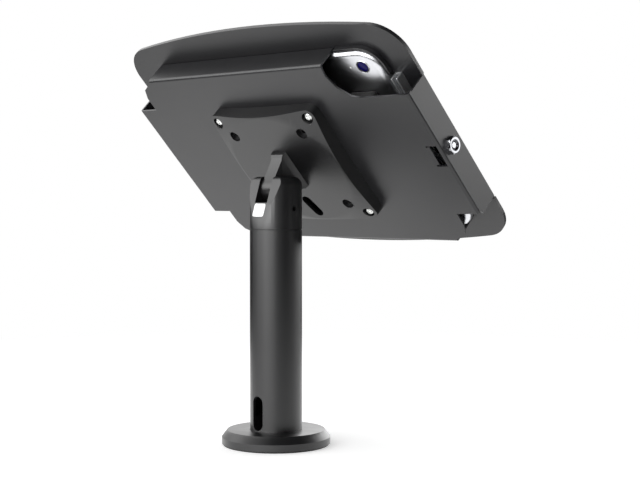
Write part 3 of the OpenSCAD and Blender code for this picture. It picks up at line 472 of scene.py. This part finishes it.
plate.normal_update()
rim = [edge for edge in plate.edges if on_rim(edge)]
bmesh.ops.bevel(
    plate,
    geom=rim,
    offset=mm(REAR_EDGE_MM),
    affect="EDGES",
    segments=3,
    profile=0.5,
    material=-1,
    clamp_overlap=True,
)
plate_piece = finish_piece(from_bmesh("vesa_plate_finished", plate), "vesa_plate", cast_coat)
shade_evenly(round_edges(plate_piece, OTHER_EDGES_MM))
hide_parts("vesa_plate")
print("rear edge pieces rounded:", len(rim))

# %% [markdown]
# ## Skins through loops
# The lock, the screws and the lens are all turned, and some of them are six-sided in part. A spin can't make the
# six sides, so one helper makes them all: it lays loops above each other, each round or six-sided with the same
# number of points, and bridges every loop to the next. Two loops in one plane would be bridged across the middle,
# so each loop is raised by a hair more. A second helper makes flat plates with round corners by bevelling the
# corner points of a grid.

# %% Helpers for turned and flat pieces
ROUND_STEPS = 48
HAIR_MM = 0.01


def loop(work, kind, radius_mm, height_mm):
    """One closed loop of ROUND_STEPS points, drawn in to six flats where kind is hex. Returns its edges."""
    known = set(work.edges)
    made = bmesh.ops.create_circle(
        work, segments=ROUND_STEPS, radius=mm(radius_mm), matrix=Matrix.Translation(mm(0, 0, height_mm))
    )
    if kind == "hex":
        half = math.radians(30)
        for vert in made["verts"]:
            turn = (math.atan2(vert.co.y, vert.co.x) + half) % (2 * half) - half
            draw_in = math.cos(half) / math.cos(turn)
            vert.co.x *= draw_in
            vert.co.y *= draw_in
    return [edge for edge in work.edges if edge not in known]


def stacked(name, loops, place, closed=False):
    """A skin through (kind, radius, height) loops. closed joins the last to the first, else both get a cap."""
    work = bmesh.new()
    rims = [
        loop(work, kind, radius, height + HAIR_MM * row)
        for row, (kind, radius, height) in enumerate(loops)
    ]
    pairs = list(zip(rims, rims[1:])) + ([(rims[-1], rims[0])] if closed else [])
    for low, high in pairs:
        bmesh.ops.bridge_loops(work, edges=low + high)
    if not closed:
        for rim in (rims[0], rims[-1]):
            bmesh.ops.contextual_create(work, geom=rim)
    bmesh.ops.recalc_face_normals(work, faces=work.faces)
    return from_bmesh(name, work, place)


def flat_plate(half_w_mm, half_h_mm, corner_mm, steps):
    """A flat face with round corners, about the origin in x and y."""
    work = bmesh.new()
    bmesh.ops.create_grid(work, x_segments=1, y_segments=1, size=1)
    bmesh.ops.scale(work, vec=mm(half_w_mm, half_h_mm, 1000), verts=work.verts)
    bmesh.ops.bevel(
        work,
        geom=work.verts[:],
        offset=mm(corner_mm),
        affect="VERTICES",
        segments=steps,
        profile=0.5,
        material=-1,
    )
    return work


def pull_up(work, height_mm):
    """Extrudes every face of a flat bmesh along z, so that it becomes a closed block."""
    made = bmesh.ops.extrude_face_region(work, geom=work.faces[:])
    raised = [v for v in made["geom"] if isinstance(v, bmesh.types.BMVert)]
    bmesh.ops.translate(work, vec=mm(0, 0, height_mm), verts=raised)
    bmesh.ops.recalc_face_normals(work, faces=work.faces)


def seen_from_behind(rear_mm):
    """Turns a flat drawing to the enclosure: x runs across, y up, and z forwards from rear_mm."""
    return plate_space @ Matrix.Translation(mm(0, rear_mm, 0)) @ Matrix.Rotation(math.pi / 2, 4, "X")


print("loops have", ROUND_STEPS, "points")

# %% [markdown]
# ## The tablet
# Its shell is milled from one block: the back runs into the sides on a radius of several millimetres, and that
# soft edge is what shines in the camera window. The glass lies in a shallow seat at the front, inside a thin rim.

# %% Tablet shell
TABLET_HALF_MM = (123.8, 89.25)
TABLET_CORNER_MM = 17.5
TABLET_BACK_MM = -26.2
TABLET_THICK_MM = 6.8
BACK_EDGE_MM = 4.2
GLASS_RIM_MM = 0.95
GLASS_THICK_MM = 0.8
SEAT_DRAFT_MM = 0.02

shell = flat_plate(*TABLET_HALF_MM, TABLET_CORNER_MM, steps=12)
pull_up(shell, TABLET_THICK_MM)
back_rim = [e for e in shell.edges if all(abs(v.co.z) < 1e-7 for v in e.verts)]
bmesh.ops.bevel(
    shell, geom=back_rim, offset=mm(BACK_EDGE_MM), affect="EDGES", segments=7, profile=0.5, material=-1
)
front = max(shell.faces, key=lambda face: face.calc_center_median().z)
bmesh.ops.inset_region(shell, faces=[front], thickness=mm(GLASS_RIM_MM), depth=0)
bmesh.ops.inset_region(shell, faces=[front], thickness=mm(SEAT_DRAFT_MM), depth=mm(-GLASS_THICK_MM))
bmesh.ops.recalc_face_normals(shell, faces=shell.faces)
shell_piece = from_bmesh("tablet_shell", shell, seen_from_behind(TABLET_BACK_MM))
finish_piece(shell_piece, "tablet_body", anodised)
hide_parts("tablet_body")
print("tablet", [2 * h for h in TABLET_HALF_MM], "mm, back edge radius", BACK_EDGE_MM, "mm")

# %% [markdown]
# The camera is a thin metal ring with a black seat, and in it a lens under a slightly domed coated glass. The
# tiny pale dot beside it is the opening of the microphone.

# %% Camera of the tablet
LENS_AT_MM = (-108.6, 76.7)
lens_space = (
    plate_space
    @ Matrix.Translation(mm(LENS_AT_MM[0], TABLET_BACK_MM, LENS_AT_MM[1]))
    @ Matrix.Rotation(-math.pi / 2, 4, "X")
)
ring_loops = [
    ("round", 5.8, -1.2),
    ("round", 5.8, 0.3),
    ("round", 5.65, 0.45),
    ("round", 5.4, 0.45),
    ("round", 5.3, 0.35),
    ("round", 5.3, -1.2),
]
camera_ring = stacked("tablet_camera_ring_finished", ring_loops, lens_space, closed=True)
finish_piece(camera_ring, "tablet_camera_ring", anodised)
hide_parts("tablet_camera_ring")
seat_loops = [("round", 5.28, -1.1), ("round", 5.28, 0.12), ("round", 4.5, 0.12), ("round", 4.5, -1.1)]
lens_seat = stacked("tablet_lens_seat", seat_loops, lens_space, closed=True)
finish_piece(lens_seat, "tablet_lens", lens_black)
dome_loops = [
    ("round", 4.48, -1.0),
    ("round", 4.48, 0.02),
    ("round", 3.9, 0.16),
    ("round", 2.7, 0.28),
    ("round", 1.2, 0.35),
]
lens_dome = stacked("tablet_lens_dome", dome_loops, lens_space)
finish_piece(lens_dome, "tablet_lens", lens_glass)
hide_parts("tablet_lens")
print("lens at", LENS_AT_MM, "mm on the enclosure")

# %% Microphone
MIC_FROM_LENS_MM = 12.0
mic_space = lens_space @ Matrix.Translation(mm(MIC_FROM_LENS_MM, 0, 0))
mic_loops = [("round", 0.75, -0.4), ("round", 0.75, 0.03), ("round", 0.6, 0.06), ("round", 0.2, 0.06)]
microphone = stacked("tablet_microphone_mesh", mic_loops, mic_space)
finish_piece(microphone, "tablet_body", label_film)
print("microphone", MIC_FROM_LENS_MM, "mm from the lens")

# %% [markdown]
# Behind the tablet's corner the frame has a low lip that holds the tablet in its place. It shows in the camera
# window as a dark band round the bright corner. A ring with round corners is drawn round the whole tablet, and
# two cuts leave only the corner that has room for it.

# %% Corner lip of the frame
LIP_GAP_MM = 0.3
LIP_THICK_MM = 2.0
LIP_HEIGHT_MM = 4.2
FRAME_BACK_MM = -33.4
LIP_FROM_U_MM = -86.0
LIP_FROM_V_MM = 65.0
LIP_EDGES_MM = 0.3

grow = LIP_GAP_MM + LIP_THICK_MM
lip = flat_plate(*(h + grow for h in TABLET_HALF_MM), TABLET_CORNER_MM + grow, steps=12)
inner = lip.faces[:]
bmesh.ops.inset_region(
    lip, faces=inner, thickness=mm(LIP_THICK_MM), depth=0, use_boundary=True, use_even_offset=True
)
bmesh.ops.delete(lip, geom=inner, context="FACES")
for point, away in ((mm(LIP_FROM_U_MM, 0, 0), (1, 0, 0)), (mm(0, LIP_FROM_V_MM, 0), (0, -1, 0))):
    geom = lip.verts[:] + lip.edges[:] + lip.faces[:]
    bmesh.ops.bisect_plane(lip, geom=geom, plane_co=point, plane_no=away, clear_outer=True)
pull_up(lip, LIP_HEIGHT_MM)
lip_piece = from_bmesh("frame_corner_lip", lip, seen_from_behind(FRAME_BACK_MM + LIP_HEIGHT_MM))
finish_piece(lip_piece, "front_frame", sheet_coat)
round_edges(lip_piece, LIP_EDGES_MM)
print("lip from", LIP_FROM_U_MM, "to the corner,", LIP_HEIGHT_MM, "mm high")

# %% [markdown]
# ## The cam lock
# The collar is six-sided against the wall and turned round at its face, and it is chrome plated, so each flat
# mirrors another part of the room. The plug sits a little below the collar's face, with the round keyway of a
# tubular key. The plug turns with the key and the collar doesn't, so they are two pieces on two bodies.

# %% Collar and plug
WALL_OUT_MM = 149.0
LOCK_DEPTH_MM = -24.0
COLLAR_TURN_DEG = 45.7
lock_space = (
    plate_space
    @ Matrix.Translation(mm(-WALL_OUT_MM, LOCK_DEPTH_MM, 0))
    @ Matrix.Rotation(-math.pi / 2, 4, "Y")
    @ Matrix.Rotation(math.radians(COLLAR_TURN_DEG), 4, "Z")
)
collar_loops = [
    ("hex", 7.0, 0.0),
    ("hex", 7.0, 2.7),
    ("round", 6.1, 3.55),
    ("round", 5.8, 3.8),
    ("round", 4.5, 3.8),
    ("round", 4.15, 3.55),
    ("round", 4.05, -1.0),
    ("round", 4.05, -11.0),
    ("round", 5.85, -11.0),
    ("round", 6.0, -10.8),
    ("round", 6.0, 0.0),
]
collar = stacked("lock_barrel_finished", collar_loops, lock_space, closed=True)
finish_piece(collar, "lock_barrel", lock_chrome, smooth_deg=28)
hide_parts("lock_barrel")
plug_loops = [
    ("round", 4.0, -11.15),
    ("round", 4.0, 2.3),
    ("round", 3.9, 2.5),
    ("round", 3.55, 2.5),
    ("round", 3.45, 2.4),
    ("round", 3.45, 0.3),
    ("round", 2.35, 0.3),
    ("round", 2.35, 2.4),
    ("round", 2.2, 2.6),
    ("round", 0.8, 2.6),
]
plug = stacked("lock_plug_finished", plug_loops, lock_space)
finish_piece(plug, "lock_plug", lock_chrome, smooth_deg=28)
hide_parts("lock_plug")
print("collar", 2 * collar_loops[0][1], "mm across its corners, plug", 2 * plug_loops[0][1], "mm")

# %% [markdown]
# ## Screws
# Four button heads hold the plate to the tray, at the corners of the 100 mm square. A button head is a low dome
# with a six-sided socket. The head of the tilt bolt is of the same kind, only larger.

# %% Button-head screws
SCREW_AT_MM = 50.0
SCREW_TOP_MM = -3.9
SCREW_HEAD_MM = 2.4


def button_loops(head_r, head_h, socket_r, socket_h, shank_r, shank_len):
    """Loops of a screw from the shank's end to the socket's floor. The head stands on height 0."""
    return [
        ("round", shank_r * 0.85, -shank_len),
        ("round", shank_r, 0.4 - shank_len),
        ("round", shank_r, 0.0),
        ("round", head_r * 0.97, 0.0),
        ("round", head_r, head_h * 0.12),
        ("round", head_r * 0.93, head_h * 0.5),
        ("round", head_r * 0.78, head_h * 0.8),
        ("round", head_r * 0.58, head_h * 0.97),
        ("round", socket_r * 1.12, head_h),
        ("hex", socket_r, head_h * 0.94),
        ("hex", socket_r, head_h - socket_h),
    ]


for corner, (side, level) in enumerate(((-1, -1), (-1, 1), (1, -1), (1, 1))):
    screw_space = (
        plate_space
        @ Matrix.Translation(mm(side * SCREW_AT_MM, SCREW_TOP_MM - SCREW_HEAD_MM, level * SCREW_AT_MM))
        @ Matrix.Rotation(-math.pi / 2, 4, "X")
    )
    screw_loops = button_loops(4.0, SCREW_HEAD_MM, socket_r=1.44, socket_h=1.3, shank_r=2.0, shank_len=11.0)
    screw = stacked(f"vesa_screw_{corner + 1}", screw_loops, screw_space)
    finish_piece(screw, "vesa_screws", zinc_plate)
    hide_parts("vesa_screws")
print("four button heads, tops", SCREW_TOP_MM, "mm from the plate's back face")

# %% Tilt bolt
BOLT_SEAT_MM = 13.8
BOLT_HEAD_R_MM = 6.5
bolt_space = Matrix.Translation(mm(BOLT_SEAT_MM, 0, PIVOT_Z_MM)) @ Matrix.Rotation(math.pi / 2, 4, "Y")
bolt_loops = button_loops(BOLT_HEAD_R_MM, 5.0, socket_r=3.25, socket_h=2.5, shank_r=4.0, shank_len=27.6)
tilt_bolt = stacked("tilt_bolt_finished", bolt_loops, bolt_space)
finish_piece(tilt_bolt, "tilt_bolt", turned_steel)
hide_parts("tilt_bolt")
print("tilt bolt head", 2 * BOLT_HEAD_R_MM, "mm across")

# %% [markdown]
# ## The blank label
# A label of white film is stuck on the head below the fork, flat on its slanted rear face. Its print is left off,
# so it is plain film with round corners. It is a flat plate that is pulled up by the thickness of the film.

# %% Label
LABEL_MM = (12.0, 10.6)
LABEL_CORNER_MM = 1.8
REAR_FACE_MM = 12.9
REAR_LEAN_DEG = 18.3
LABEL_DROP_MM = 17.686
FILM_MM = 0.2

film = flat_plate(LABEL_MM[0] / 2, LABEL_MM[1] / 2, LABEL_CORNER_MM, steps=6)
pull_up(film, FILM_MM)
rear_face = (
    Matrix.Translation(mm(0, REAR_FACE_MM, PIVOT_Z_MM))
    @ Matrix.Rotation(math.radians(REAR_LEAN_DEG - 90), 4, "X")
    @ Matrix.Translation(mm(0, LABEL_DROP_MM, 0))
)
label = from_bmesh("head_label_finished", film, rear_face)
finish_piece(label, "head_label", label_film)
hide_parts("head_label")
print("label", LABEL_MM, "mm on a face that leans", REAR_LEAN_DEG, "degrees")

# %% [markdown]
# ## Foam pads
# Four blocks of soft foam lie between the tray and the tablet. Cut foam has no sharp edge: its sides draw in a
# little between the corners and its faces are slightly crowned where nothing presses on them. Each block is a
# cube cut into a grid, drawn in by a smooth curve, and rounded by a subdivision surface. The foam fills the
# space of its solid, so it stays clear of the tablet.

# %% Foam pads
PAD_HALF_MM = (13.0, 22.0)
PAD_AT_MM = (96.0, 34.0)
PAD_REAR_MM = -14.05
PAD_THICK_MM = 11.8
PAD_GAP_MM = 0.1
DRAW_IN_MM = 0.7
CROWN = 0.06
PAD_CUTS = 5

for corner, (side, level) in enumerate(((-1, -1), (-1, 1), (1, -1), (1, 1))):
    pad = bmesh.new()
    bmesh.ops.create_cube(pad, size=2)
    bmesh.ops.subdivide_edges(pad, edges=pad.edges[:], cuts=PAD_CUTS, use_grid_fill=True)
    for vert in pad.verts:
        x, y, z = vert.co
        belly = DRAW_IN_MM * (1 - z * z)
        vert.co = mm(
            x * (PAD_HALF_MM[0] - PAD_GAP_MM - DRAW_IN_MM * (1 - y * y)) - belly * x,
            y * (PAD_HALF_MM[1] - PAD_GAP_MM - DRAW_IN_MM * (1 - x * x)) - belly * y,
            PAD_THICK_MM / 2 * (1 + z * (1 - CROWN * max(x * x, y * y))),
        )
    middle = Matrix.Translation(mm(side * PAD_AT_MM[0], level * PAD_AT_MM[1], 0))
    place = seen_from_behind(PAD_REAR_MM) @ middle
    pad_piece = from_bmesh(f"tray_foam_pad_{corner + 1}", pad, place)
    finish_piece(pad_piece, "tray_foam_pads", cell_foam)
    smooth = pad_piece.modifiers.new("soft_surface", "SUBSURF")
    smooth.levels = smooth.render_levels = 2
    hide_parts("tray_foam_pads")
print("four foam pads", PAD_THICK_MM, "mm thick")

# %% [markdown]
# ## The studio
# The picture was taken at the height of the head, from behind the lock side. A long lens keeps the pole upright
# on the picture. The camera's place was solved from the edges of the plate and the pole, so it is written here
# as numbers. The floor and the background are white. The stand's dark coat is seen mostly by what it mirrors,
# so the light is arranged like a product set: broad soft lamps on the left and on the far right, the white
# backdrop behind the stand, and darkness beside the camera that gives the pole its dark stripe.

# %% Long lens
camera_data = bpy.data.cameras.new("kiosk_camera")
camera_data.sensor_width = 36.0
camera_data.lens = 77.644
camera = bpy.data.objects.new("kiosk_camera", camera_data)
bpy.context.scene.collection.objects.link(camera)
camera.location = (-0.781312, 0.76535, 0.198487)
look = Vector((0.691291, -0.721822, -0.032998))
camera.rotation_euler = look.to_track_quat("-Z", "Y").to_euler()
camera_data.clip_start, camera_data.clip_end = 0.05, 50
bpy.context.scene.camera = camera
bpy.context.scene.view_settings.view_transform = "Standard"
print("camera", [round(c, 4) for c in camera.location], "lens", camera_data.lens, "mm")

# %% [markdown]
# The floor is matt white paint. To the camera, to reflections and through glass it is lifted to white, and it
# still takes the stand's soft shadow. Reflections get a stronger lift, as from a lit table. Far from the stand the
# shadow has ended, so the floor is pure white there and no horizon shows. The lit table ends there too, so past
# that distance reflections see the dark room.

# %% Floor
FLOOR_HALF_M = 12
FLOOR_LIFT = 0.4
FLOOR_MIRROR_LIFT = 0.8
SHADOW_ENDS_M = (0.45, 0.9)


def seen_plainly(tree, rays):
    """1 to the camera and through glass, else 0."""
    return add(
        tree,
        "ShaderNodeMath",
        {0: rays.outputs["Is Camera Ray"], 1: rays.outputs["Is Transmission Ray"]},
        operation="MAXIMUM",
    )


work = bmesh.new()
bmesh.ops.create_grid(work, x_segments=1, y_segments=1, size=FLOOR_HALF_M)
floor = from_bmesh("studio_floor", work)
floor_paint, tree, shader, place = new_finish("matt_white_floor_paint", Roughness=0.9)
shader.inputs["Base Color"].default_value = linear("#f2f2f2")
shader.inputs["Specular IOR Level"].default_value = 0.0
rays = add(tree, "ShaderNodeLightPath")
plain_view = seen_plainly(tree, rays)
lift = add(tree, "ShaderNodeMath", {0: plain_view.outputs[0], 1: FLOOR_LIFT}, operation="MULTIPLY")
lift = add(
    tree,
    "ShaderNodeMath",
    {0: rays.outputs["Is Glossy Ray"], 1: FLOOR_MIRROR_LIFT, 2: lift.outputs[0]},
    operation="MULTIPLY_ADD",
)
glow = add(tree, "ShaderNodeEmission", {"Color": (1, 1, 1, 1), "Strength": lift.outputs[0]})
both = add(tree, "ShaderNodeAddShader", {0: shader.outputs[0], 1: glow.outputs[0]})
away = add(tree, "ShaderNodeVectorMath", {0: place}, operation="LENGTH")
far = add(
    tree,
    "ShaderNodeMapRange",
    {"Value": away.outputs["Value"], 1: SHADOW_ENDS_M[0], 2: SHADOW_ENDS_M[1], 3: 0.0, 4: 1.0},
    interpolation_type="SMOOTHSTEP",
)
not_matt = add(
    tree,
    "ShaderNodeMath",
    {0: plain_view.outputs[0], 1: rays.outputs["Is Glossy Ray"]},
    operation="MAXIMUM",
)
ended = add(tree, "ShaderNodeMath", {0: far.outputs[0], 1: not_matt.outputs[0]}, operation="MULTIPLY")
beyond = add(tree, "ShaderNodeEmission", {"Color": (1, 1, 1, 1), "Strength": plain_view.outputs[0]})
mixed = add(tree, "ShaderNodeMixShader", {0: ended.outputs[0], 1: both.outputs[0], 2: beyond.outputs[0]})
tree.links.new(mixed.outputs[0], tree.nodes["Material Output"].inputs["Surface"])
floor.data.materials.append(floor_paint)
print("the floor is", 2 * FLOOR_HALF_M, "m wide")

# %% [markdown]
# The room is drawn in the world's own nodes. Each lamp is a soft round patch, given by its turn from the camera
# to the camera's right, its height above the floor in degrees, the cosines where its edge starts and where it is
# full, and its strength. The patch straight behind the stand is the white backdrop, so metal mirrors the same
# white that the camera sees. The strengths were fitted until the bands on the pole matched the picture. Matt
# surfaces get a smaller share of the same lamps, so that a pale one keeps its colour and doesn't clip to white.

# %% Room
BACKDROP, BAND, NARROW, WIDE = (0.78, 0.97), (0.80, 0.99), (0.93, 0.99), (0.68, 0.985)
LAMPS = (
    (180, 15, BACKDROP, 1.0),
    (-98, 27, NARROW, 1.0),
    (-90, 6, BAND, 2.22),
    (-60, 6, BAND, 4.18),
    (-30, 6, BAND, 6.29),
    (0, 6, BAND, 0.89),
    (90, 6, BAND, 1.04),
    (120, 6, BAND, 3.48),
    (150, 6, BAND, 2.15),
    (-150, 45, WIDE, 1.61),
    (-90, 45, WIDE, 1.09),
    (150, 45, WIDE, 0.49),
)
MATT_SHARE = 0.62
to_camera = Vector((-look.x, -look.y, 0)).normalized()
camera_right = look.cross(Vector((0, 0, 1))).normalized()

world = bpy.data.worlds.new("studio_room")
bpy.context.scene.world = world
world.use_nodes = True
tree = world.node_tree
tree.nodes.clear()
rays = add(tree, "ShaderNodeLightPath")
direction = add(tree, "ShaderNodeTexCoord").outputs["Generated"]
room = 0.0
for turn_deg, height_deg, (outer, inner), strength in LAMPS:
    turn, height = math.radians(turn_deg), math.radians(height_deg)
    level_way = camera_right * math.sin(turn) + to_camera * math.cos(turn)
    way = level_way * math.cos(height) + Vector((0, 0, math.sin(height)))
    near = add(tree, "ShaderNodeVectorMath", {0: direction, 1: way}, operation="DOT_PRODUCT")
    patch = add(
        tree,
        "ShaderNodeMapRange",
        {"Value": near.outputs["Value"], 1: outer, 2: inner, 3: 0.0, 4: strength},
        interpolation_type="SMOOTHSTEP",
    )
    room = add(tree, "ShaderNodeMath", {0: room, 1: patch.outputs[0]}, operation="ADD").outputs[0]
softened = add(tree, "ShaderNodeMath", {0: room, 1: MATT_SHARE}, operation="MULTIPLY")
seen_room = add(
    tree,
    "ShaderNodeMix",
    {"Factor": rays.outputs["Is Glossy Ray"], 2: softened.outputs[0], 3: room},
    data_type="FLOAT",
)
plain_view = seen_plainly(tree, rays)
level = add(
    tree,
    "ShaderNodeMix",
    {"Factor": plain_view.outputs[0], 2: seen_room.outputs[0], 3: 1.0},
    data_type="FLOAT",
)
light = add(tree, "ShaderNodeBackground", {"Color": (1, 1, 1, 1), "Strength": level.outputs[0]})
add(tree, "ShaderNodeOutputWorld", {"Surface": light.outputs[0]})
print("the room has", len(LAMPS), "patches of light")
